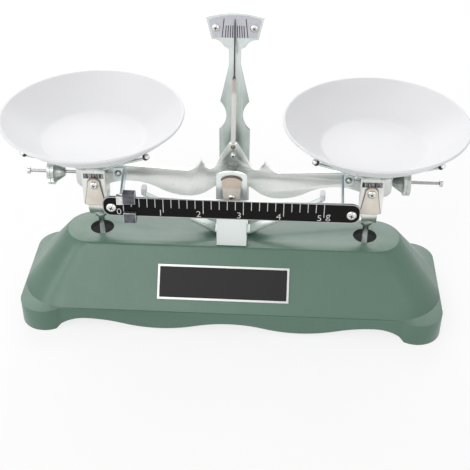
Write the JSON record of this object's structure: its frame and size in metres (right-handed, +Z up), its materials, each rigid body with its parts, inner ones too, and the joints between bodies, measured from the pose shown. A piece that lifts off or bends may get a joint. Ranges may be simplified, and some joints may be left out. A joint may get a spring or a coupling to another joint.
{
  "type": "two-pan table balance",
  "caption": "Two-pan table balance with an equal-armed beam, rider bar, balance nuts, pointer and dial, lift-off bowls and a guided linkage inside a hollow cast base.",
  "frame": {"origin": "on the table, midway between the two pan stems and under the beam", "axes": "+X to the right along the beam, +Y from the scale bar's side to the dial's side, +Z up"},
  "size_m": [0.298, 0.118, 0.2032],
  "materials": {
    "base_paint": "semi-gloss grey-green enamel",
    "black_print": "satin black print in a bare frame",
    "zinc_sheet": "zinc-plated sheet steel, satin",
    "cream_cover": "cream plastic",
    "bar_black": "black face with bare metal edges",
    "dial_silver": "silver dial sheet",
    "knife_steel": "hardened and ground",
    "bright_steel": "nickel-plated turned steel",
    "screw_steel": "zinc-plated screws",
    "rider_metal": "dark grey",
    "pan_plastic": "white glossy plastic",
    "sleeve_rubber": "soft pale sleeve"
  },
  "bodies": {
    "base": {"base_casting": "base_paint", "name_plate": "black_print", "column_bracket": "zinc_sheet", "dial_plate": "dial_silver", "front_bearing": "knife_steel", "rear_bearing": "knife_steel", "column_cover": "cream_cover", "column_cover_screw": "screw_steel", "dial_screws": "screw_steel", "column_screws": "screw_steel", "column_nuts": "screw_steel", "stay_bracket": "zinc_sheet", "stay_centre_pin": "bright_steel", "beam_stop": "zinc_sheet", "stop_sleeves": "sleeve_rubber"},
    "beam": {"beam": "zinc_sheet", "centre_knife": "knife_steel", "left_end_knife": "knife_steel", "right_end_knife": "knife_steel", "pointer": "zinc_sheet", "pointer_screw": "screw_steel", "scale_bar": "bar_black", "scale_bar_screws": "screw_steel", "hanger_rivets": "screw_steel", "zero_stop": "zinc_sheet", "left_hanger": "zinc_sheet", "right_hanger": "zinc_sheet", "left_balance_rod": "bright_steel", "right_balance_rod": "bright_steel"},
    "rider": {"rider": "rider_metal"},
    "left_nut": {"left_balance_nut": "bright_steel"},
    "right_nut": {"right_balance_nut": "bright_steel"},
    "left_carrier": {"left_yoke": "zinc_sheet", "left_bearing": "knife_steel", "left_yoke_cover": "cream_cover", "left_yoke_screw": "screw_steel", "left_stem": "bright_steel", "left_pan_support": "zinc_sheet"},
    "right_carrier": {"right_yoke": "zinc_sheet", "right_bearing": "knife_steel", "right_yoke_cover": "cream_cover", "right_yoke_screw": "screw_steel", "right_stem": "bright_steel", "right_pan_support": "zinc_sheet"},
    "left_pan": {"left_pan": "pan_plastic"},
    "right_pan": {"right_pan": "pan_plastic"},
    "lower_stay": {"lower_stay": "zinc_sheet", "left_stay_pin": "bright_steel", "right_stay_pin": "bright_steel"}
  },
  "joints": [
    {"name": "beam_tilt", "type": "hinge", "parent": "base", "child": "beam", "pos_m": [0, 0, 0.0997], "axis": [0, 1, 0], "range_deg": [-4.5, 4.5]},
    {"name": "left_carrier_pivot", "type": "hinge", "parent": "beam", "child": "left_carrier", "pos_m": [-0.09, 0, 0.0997], "axis": [0, 1, 0], "range_deg": [-4.5, 4.5]},
    {"name": "right_carrier_pivot", "type": "hinge", "parent": "beam", "child": "right_carrier", "pos_m": [0.09, 0, 0.0997], "axis": [0, 1, 0], "range_deg": [-4.5, 4.5]},
    {"name": "stay_pivot", "type": "hinge", "parent": "base", "child": "lower_stay", "pos_m": [0, 0, 0.03], "axis": [0, 1, 0], "range_deg": [-4.5, 4.5]},
    {"name": "rider_slide", "type": "slide", "parent": "beam", "child": "rider", "axis": [1, 0, 0], "range_m": [0, 0.1288]},
    {"name": "left_nut_turn_out", "type": "slide", "parent": "beam", "child": "left_nut", "axis": [1, 0, 0], "range_m": [-0.012, 0.0069]},
    {"name": "right_nut_turn_out", "type": "slide", "parent": "beam", "child": "right_nut", "axis": [1, 0, 0], "range_m": [0, 0.019]},
    {"name": "left_pan_lift", "type": "slide", "parent": "left_carrier", "child": "left_pan", "axis": [0, 0, 1], "range_m": [0, 0.05]},
    {"name": "right_pan_lift", "type": "slide", "parent": "right_carrier", "child": "right_pan", "axis": [0, 0, 1], "range_m": [0, 0.05]}
  ],
  "couplings": [
    {"joint": "left_carrier_pivot", "follows": "beam_tilt", "ratio": -1},
    {"joint": "right_carrier_pivot", "follows": "beam_tilt", "ratio": -1},
    {"joint": "stay_pivot", "follows": "beam_tilt", "ratio": 1}
  ]
}
